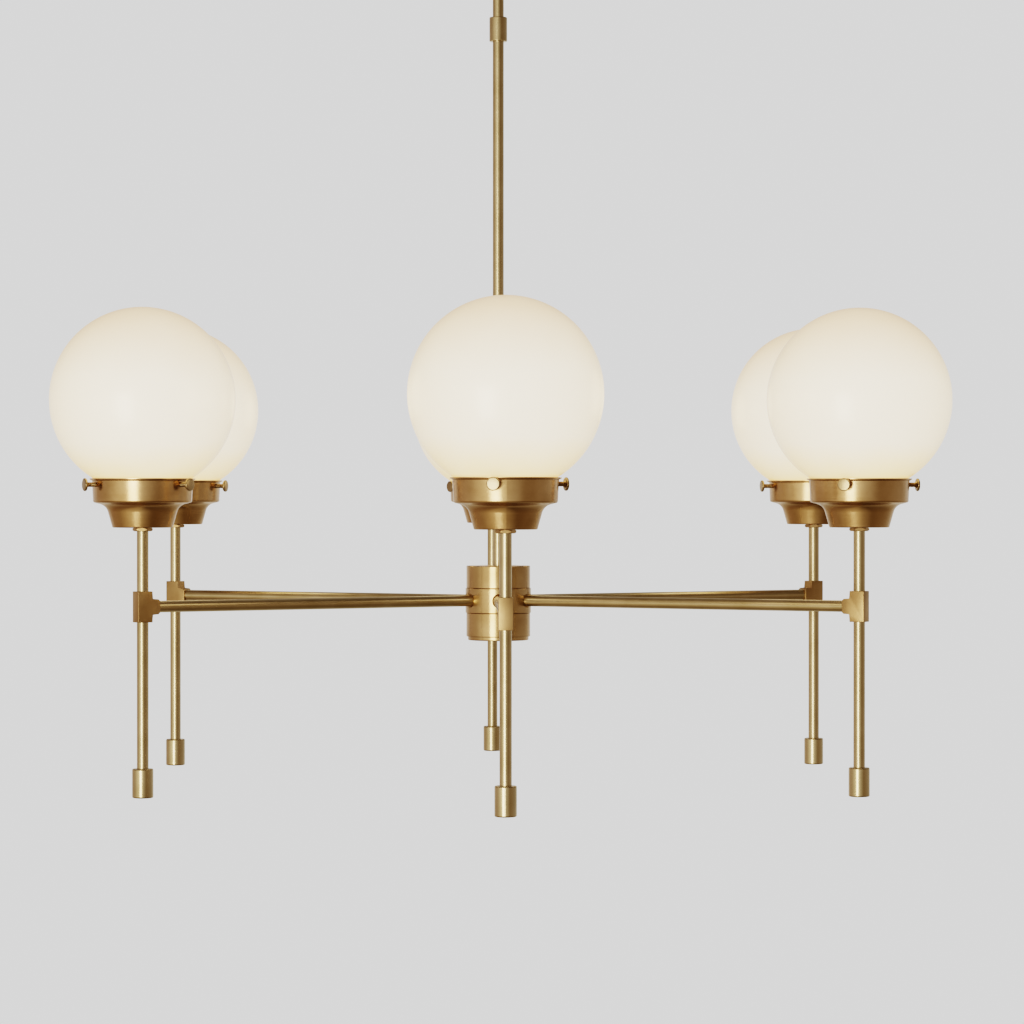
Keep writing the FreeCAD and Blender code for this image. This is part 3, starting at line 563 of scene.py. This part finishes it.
def frosted_lamp_glass():
    """Etched bulb glass, lit: an even, warm glow with the faint mottle of the etching."""
    glass = new_finish("frosted_lamp_glass")
    place = add(glass, "TexCoord").outputs["Object"]
    etch = add(glass, "TexNoise", {"Vector": place, "Scale": 1 / (ETCH_SIZE * MM), "Detail": 3.0})
    glow = add(glass, "MapRange", {"Value": etch.outputs["Fac"], "To Min": 2.6, "To Max": 3.4})
    frost = add(glass, "BsdfPrincipled", {
        "Base Color": linear(LAMP_BODY), "Roughness": 0.5, "IOR": 1.5,
        "Emission Color": linear(LAMP_GLOW), "Emission Strength": glow.outputs["Result"]})
    add(glass, "OutputMaterial", {"Surface": frost.outputs["BSDF"]})
    return glass


def nickelled_brass():
    """Thin nickel over rolled brass: a warm silvery sheen, a little dull from handling."""
    nickel = new_finish("nickelled_brass")
    place = add(nickel, "TexCoord").outputs["Object"]
    dull = add(nickel, "TexNoise", {"Vector": place, "Scale": 1 / (HANDLING_MARK * MM), "Detail": 3.0})
    gloss = add(nickel, "MapRange", {"Value": dull.outputs["Fac"], "To Min": 0.2, "To Max": 0.42})
    plate = add(nickel, "BsdfPrincipled", {
        "Base Color": linear(NICKEL), "Metallic": 1.0, "Roughness": gloss.outputs["Result"]})
    add(nickel, "OutputMaterial", {"Surface": plate.outputs["BSDF"]})
    return nickel


def round_pieces(name, rings, finish, smooth_under=35.0):
    """The same turned form standing at the end of each arm, as one object."""
    shape = bmesh.new()
    for place in arm_places:
        skin(shape, rings, place)
    return as_piece(name, shape, finish, smooth_under)


low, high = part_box("lamps")
lamp_low = low.z / MM
cap_top = lamp_low + CAP_HEIGHT
neck_top = lamp_low + NECK_HEIGHT
ball_centre = high.z / MM - BALL_RADIUS
drop = ball_centre - neck_top
# the flare from the neck meets the ball at this angle, without an edge
touch = math.atan2(-drop, CAP_RADIUS) + math.acos(BALL_RADIUS / math.hypot(CAP_RADIUS, drop))
rings = [ring(CAP_RADIUS, height, LAMP_SIDES) for height in (cap_top, neck_top)]
for i in range(BALL_STEPS):
    turn = touch + (math.pi / 2 - touch) * i / BALL_STEPS
    rings.append(ring(BALL_RADIUS * math.cos(turn), ball_centre + BALL_RADIUS * math.sin(turn), LAMP_SIDES))
mount(round_pieces("lamp_bulbs", rings, frosted_lamp_glass()), "fixture", "lamp_glass", "lamps")

cone_top = lamp_low + CONE_HEIGHT
thread_end = cap_top - CAP_PITCH / CAP_THREAD_STEPS
rings = [ring(CONTACT_RADIUS, lamp_low, LAMP_SIDES), ring(CAP_RADIUS - CAP_THREAD, cone_top, LAMP_SIDES)]
rings += thread_rings(CAP_RADIUS, CAP_THREAD, CAP_PITCH, cone_top, thread_end, LAMP_SIDES, CAP_THREAD_STEPS)
rings.append(ring(CAP_RADIUS, cap_top, LAMP_SIDES))
lamp_caps = round_pieces("lamp_caps", rings, nickelled_brass(), smooth_under=60.0)
mount(lamp_caps, "fixture", "lamp_glass", "lamps")


# ---- globes ----
# Blown opal glass, a white core under a thin clear casing, etched to a satin. Its glow from the lamp inside
# is
# painted on as emission: even, painted yellower low down beside the lamp and dimmer at the top, and warmer at
# the rim, where the casing is seen edge on.
GLASS_BODY = "#C9C5BC"
# colours of the painted glow: low down beside the lamp, in the middle, and dimmer at the top
GLOW_LOW = "#F6E8C8"
GLOW_MIDDLE = "#EEF4FF"
GLOW_TOP = "#DED4D0"
GLOW_LOW_AT = 0.18          # shares of the globe's height
GLOW_MIDDLE_FROM = 0.36
GLOW_MIDDLE_TO = 0.68
GLOW_DRIFT = 0.12           # how far the glass's thickness shifts the glow
GLOW_STRENGTH = 1.6
CASING_TINT = "#EFDDC0"     # the clear casing is a warm glass, and takes more blue where it is seen edge on
SEED_SIZE = 45.0            # slow drifts of thickness in blown glass


def opal_glass():
    """Opal glass with the lamp's light painted on as emission, graded by height: milky and even, with a soft
    satin gloss over it.
    """
    opal = new_finish("cased_opal_glass")
    place = add(opal, "TexCoord").outputs["Object"]
    low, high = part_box("globe_1")
    height = add(opal, "SeparateXYZ", {"Vector": place})
    rise = add(opal, "MapRange", {"Value": height.outputs["Z"], "From Min": low.z, "From Max": high.z})
    drift = add(opal, "TexNoise", {"Vector": place, "Scale": 1 / (SEED_SIZE * MM), "Detail": 2.0})
    uneven = add(opal, "Math", {0: drift.outputs["Fac"], 1: GLOW_DRIFT, 2: rise.outputs["Result"]},
                 operation="MULTIPLY_ADD")
    # painted light: the glow graded by height, yellower low down by the lamp and dimmer at the top
    glow = add(opal, "ValToRGB", {"Fac": uneven.outputs["Value"]})
    glow.color_ramp.elements[0].position = GLOW_LOW_AT
    glow.color_ramp.elements[0].color = linear(GLOW_LOW)
    glow.color_ramp.elements[1].position = 1.0
    glow.color_ramp.elements[1].color = linear(GLOW_TOP)
    glow.color_ramp.elements.new(GLOW_MIDDLE_FROM).color = linear(GLOW_MIDDLE)
    glow.color_ramp.elements.new(GLOW_MIDDLE_TO).color = linear(GLOW_MIDDLE)
    glass = add(opal, "BsdfPrincipled", {
        "Base Color": linear(GLASS_BODY), "Roughness": 0.4, "IOR": 1.5,
        "Emission Color": glow.outputs["Color"], "Emission Strength": GLOW_STRENGTH,
        "Coat Weight": 1.0, "Coat Roughness": 0.25, "Coat IOR": 1.5, "Coat Tint": linear(CASING_TINT)})
    add(opal, "OutputMaterial", {"Surface": glass.outputs["BSDF"]})
    return opal


wear(opal_glass(), *[f"globe_{i + 1}" for i in range(ARMS)])


# ---- thumbscrews ----
# Turned brass: a bevelled point that stands in the globe's groove, a threaded shank through the gallery's
# wall, a small collar and a round head with softened edges. There are three in each gallery.
SCREW_PATINA_AND_SHADE_TONES = ("#9A8564", "#AB9674", "#BAA585")     # darker than the other brass: partly more patina on small screws, partly painted shade
SCREW_GRAIN = (1.2, 1.2, 1.2)
SCREW_LETTERS = "abc"
POINT_FROM_AXIS = 36.3
SHANK = 2.0
POINT_BEVEL = 0.6
POINT_RELIEF = 0.05         # how far the point stays under the thread's crests
THREAD_PITCH = 0.7
THREAD_DEPTH = 0.32
COLLAR = 3.2
COLLAR_LENGTH = 1.4
HEAD = 5.3
HEAD_THICKNESS = 2.0
HEAD_EDGE = 0.8
HEAD_START = 12.4           # from the point to the head
THUMB_SIDES = 48
EDGE_ARC = 5

# a darker copy of the turned brass for the screws: partly patina, partly painted shade
screw_brass = aged_brass("turned_aged_brass_screws_patina_and_shade", SCREW_PATINA_AND_SHADE_TONES, SCREW_GRAIN,
                         roughness=0.24, line_depth=TOOL_DEPTH)


def thumbscrew_rings():
    """The screw's rings from its point, at the origin, to its head."""
    collar_start = HEAD_START - COLLAR_LENGTH
    rings = [ring(SHANK - POINT_BEVEL, 0, THUMB_SIDES), ring(SHANK - POINT_RELIEF, POINT_BEVEL, THUMB_SIDES)]
    rings += thread_rings(SHANK, THREAD_DEPTH, THREAD_PITCH, POINT_BEVEL, collar_start, THUMB_SIDES)
    rings.append(ring(SHANK, collar_start, THUMB_SIDES))
    rings.append(ring(COLLAR, HEAD_START, THUMB_SIDES))
    for start, sign in ((HEAD_START + HEAD_EDGE, -1), (HEAD_START + HEAD_THICKNESS - HEAD_EDGE, 1)):
        turns = [math.pi / 2 * i / EDGE_ARC for i in range(EDGE_ARC + 1)]
        if sign < 0:
            turns.reverse()
        for turn in turns:
            radius = HEAD - HEAD_EDGE + HEAD_EDGE * math.cos(turn)
            rings.append(ring(radius, start + sign * HEAD_EDGE * math.sin(turn), THUMB_SIDES))
    return rings


screw_rings = thumbscrew_rings()
ways = {joint["name"]: Vector(joint["axis"]) for joint in frame["joints"]}
for i in range(ARMS):
    axis_at = arm_places[i].translation
    for letter in SCREW_LETTERS:
        way = ways[f"screw_{i + 1}{letter}_back_out"]
        low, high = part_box(f"thumbscrew_{i + 1}{letter}")
        level = (low.z + high.z) / 2
        start = Vector((axis_at.x, axis_at.y, level)) + way * POINT_FROM_AXIS * MM
        shape = bmesh.new()
        skin(shape, screw_rings, Matrix.Translation(start) @ way.to_track_quat("Z", "Y").to_matrix().to_4x4())
        piece = as_piece(f"thumbscrew_{i + 1}{letter}_turned", shape, screw_brass)
        mount(piece, f"screw_{i + 1}{letter}", "aged_brass", f"thumbscrew_{i + 1}{letter}")


# ---- studio ----
# A pale floor well under the fixture, a plain light grey surround, one tall soft light to the left of the
# camera, and the room's dimmer, warmer sides. The camera stands where the photograph was taken from.
FLOOR_LEVEL = -2400.0
FLOOR_THICKNESS = 20.0
FLOOR_REACH = 4000.0
FLOOR_SIDES = 96
FLOOR_PALE = "#F6F5F2"
ROLLER_MOTTLE = 60.0
ROLLER_RELIEF = 0.2
SURROUND = "#D7D7D7"
SURROUND_STRENGTH = 1.29    # shows as the photograph's backdrop once the view has rolled the light off
ROOM_STRENGTH = 1.5
KEY_TONE = "#FFF9EE"
KEY_TURN = -21.0            # degrees to the left of the camera, seen from the hub
KEY_DISTANCE = 3300.0
KEY_WIDTH = 1100.0
KEY_HEIGHT = 2000.0
KEY_BELOW_ARMS = 500.0
KEY_RADIANCE = 4.5
VIEW_DISTANCE = 2943.0
VIEW_ABOVE_ARMS = 90.1
FIXTURE_TURN = 0.958        # degrees that the front arm points to the left of the camera
LOOK_RIGHT = 0.233
LOOK_DOWN = 0.253
LENS = 118.5
SENSOR = 36.0
# the room that the brass mirrors: degrees from the camera, positive to its right, and the tone there
ROOM = (
    (-180, "#C8C8C8"),      # the backdrop
    (-120, "#9B8A80"),      # the room's left side
    (-84, "#A3978A"),
    (-46, "#DED6C8"),       # the spill of the soft light
    (-12, "#DCD6C8"),
    (4, "#B0AAA0"),         # the wall behind the camera
    (40, "#776957"),        # the dim, warm right side
    (66, "#7F7263"),
    (110, "#8B827A"),
    (180, "#C8C8C8"),
)
# what is left of that tone from straight down, at 0, over level, at 0.5, to straight up, at 1
ROOM_FALL = (
    (0.0, "#A29682"),
    (0.31, "#D0C4B0"),
    (0.38, "#E6DFD2"),
    (0.5, "#FFFFFF"),
    (0.62, "#BEB4A8"),
    (1.0, "#9A9288"),
)


def painted_board():
    """Matt pale paint on board: flat and even, with the faint mottle of a roller."""
    paint = new_finish("pale_floor_paint")
    place = add(paint, "TexCoord").outputs["Object"]
    mottle = add(paint, "TexNoise", {"Vector": place, "Scale": 1 / (ROLLER_MOTTLE * MM), "Detail": 4.0})
    relief = add(paint, "Bump", {"Height": mottle.outputs["Fac"], "Distance": ROLLER_RELIEF * MM})
    coat = add(paint, "BsdfPrincipled", {
        "Base Color": linear(FLOOR_PALE), "Roughness": 0.8, "Normal": relief.outputs["Normal"]})
    add(paint, "OutputMaterial", {"Surface": coat.outputs["BSDF"]})
    return paint


shape = bmesh.new()
skin(shape, [ring(FLOOR_REACH, level, FLOOR_SIDES) for level in (FLOOR_LEVEL - FLOOR_THICKNESS, FLOOR_LEVEL)])
floor = as_piece("floor", shape, painted_board())
floor.visible_glossy = False    # the brass mirrors the dim room below it, as in the photograph, not the paint

world = bpy.data.worlds.new("studio")
bpy.context.scene.world = world
world.use_nodes = True
world.node_tree.nodes.clear()
way = add(world, "SeparateXYZ", {"Vector": add(world, "TexCoord").outputs["Generated"]})
toward_camera = add(world, "Math", {0: way.outputs["Y"], 1: -1.0}, operation="MULTIPLY")
turn = add(world, "Math", {0: way.outputs["X"], 1: toward_camera.outputs["Value"]}, operation="ARCTAN2")
share = add(world, "MapRange", {"Value": turn.outputs["Value"], "From Min": -math.pi, "From Max": math.pi})
walls = add(world, "ValToRGB", {"Fac": share.outputs["Result"]})
stops = walls.color_ramp.elements
stops[0].color = linear(ROOM[0][1])
stops[1].color = linear(ROOM[-1][1])
for degrees, code in ROOM[1:-1]:
    stops.new((degrees + 180) / 360).color = linear(code)
rise = add(world, "MapRange", {"Value": way.outputs["Z"], "From Min": -1.0, "From Max": 1.0})
fall = add(world, "ValToRGB", {"Fac": rise.outputs["Result"]})
stops = fall.color_ramp.elements
stops[0].color = linear(ROOM_FALL[0][1])
stops[1].color = linear(ROOM_FALL[-1][1])
for place, code in ROOM_FALL[1:-1]:
    stops.new(place).color = linear(code)
room = add(world, "Mix", {"Factor": 1.0, "A": walls.outputs["Color"], "B": fall.outputs["Color"]},
           data_type="RGBA", blend_type="MULTIPLY")
seen_room = add(world, "Background", {"Color": room.outputs["Result"], "Strength": ROOM_STRENGTH})
seen_plain = add(world, "Background", {"Color": linear(SURROUND), "Strength": SURROUND_STRENGTH})
# the camera and the matt surfaces see the plain surround, and the brass mirrors the room
rays = add(world, "LightPath")
plain_rays = add(world, "Math", {0: rays.outputs["Is Camera Ray"], 1: rays.outputs["Is Diffuse Ray"]},
                 operation="MAXIMUM")
pick = add(world, "MixShader", {
    0: plain_rays.outputs["Value"], 1: seen_room.outputs["Background"], 2: seen_plain.outputs["Background"]})
add(world, "OutputWorld", {"Surface": pick.outputs["Shader"]})

key = bpy.data.lights.new("key_softbox", "AREA")
key.shape = "RECTANGLE"
key.size = KEY_WIDTH * MM
key.size_y = KEY_HEIGHT * MM
key.energy = KEY_RADIANCE * math.pi * key.size * key.size_y
key.color = linear(KEY_TONE)[:3]
key_lamp = bpy.data.objects.new("key_softbox", key)
key_turn = math.radians(KEY_TURN)
key_lamp.location = Vector((math.sin(key_turn), -math.cos(key_turn), 0)) * KEY_DISTANCE * MM
key_lamp.location.z = (arm_level - KEY_BELOW_ARMS) * MM
key_lamp.rotation_euler = (math.radians(90), 0, key_turn)
key_lamp.visible_camera = False
bpy.context.scene.collection.objects.link(key_lamp)

camera = bpy.data.cameras.new("camera")
camera.lens = LENS
camera.sensor_width = SENSOR
viewer = bpy.data.objects.new("camera", camera)
stand = math.radians(FIXTURE_TURN)
viewer.location = Vector((-math.sin(stand), -math.cos(stand), 0)) * VIEW_DISTANCE * MM
viewer.location.z = (arm_level + VIEW_ABOVE_ARMS) * MM
viewer.rotation_euler = (math.radians(90 - LOOK_DOWN), 0, -math.radians(FIXTURE_TURN + LOOK_RIGHT))
bpy.context.scene.collection.objects.link(viewer)
bpy.context.scene.camera = viewer
bpy.context.scene.view_settings.view_transform = "Filmic"
bpy.context.scene.view_settings.look = "High Contrast"
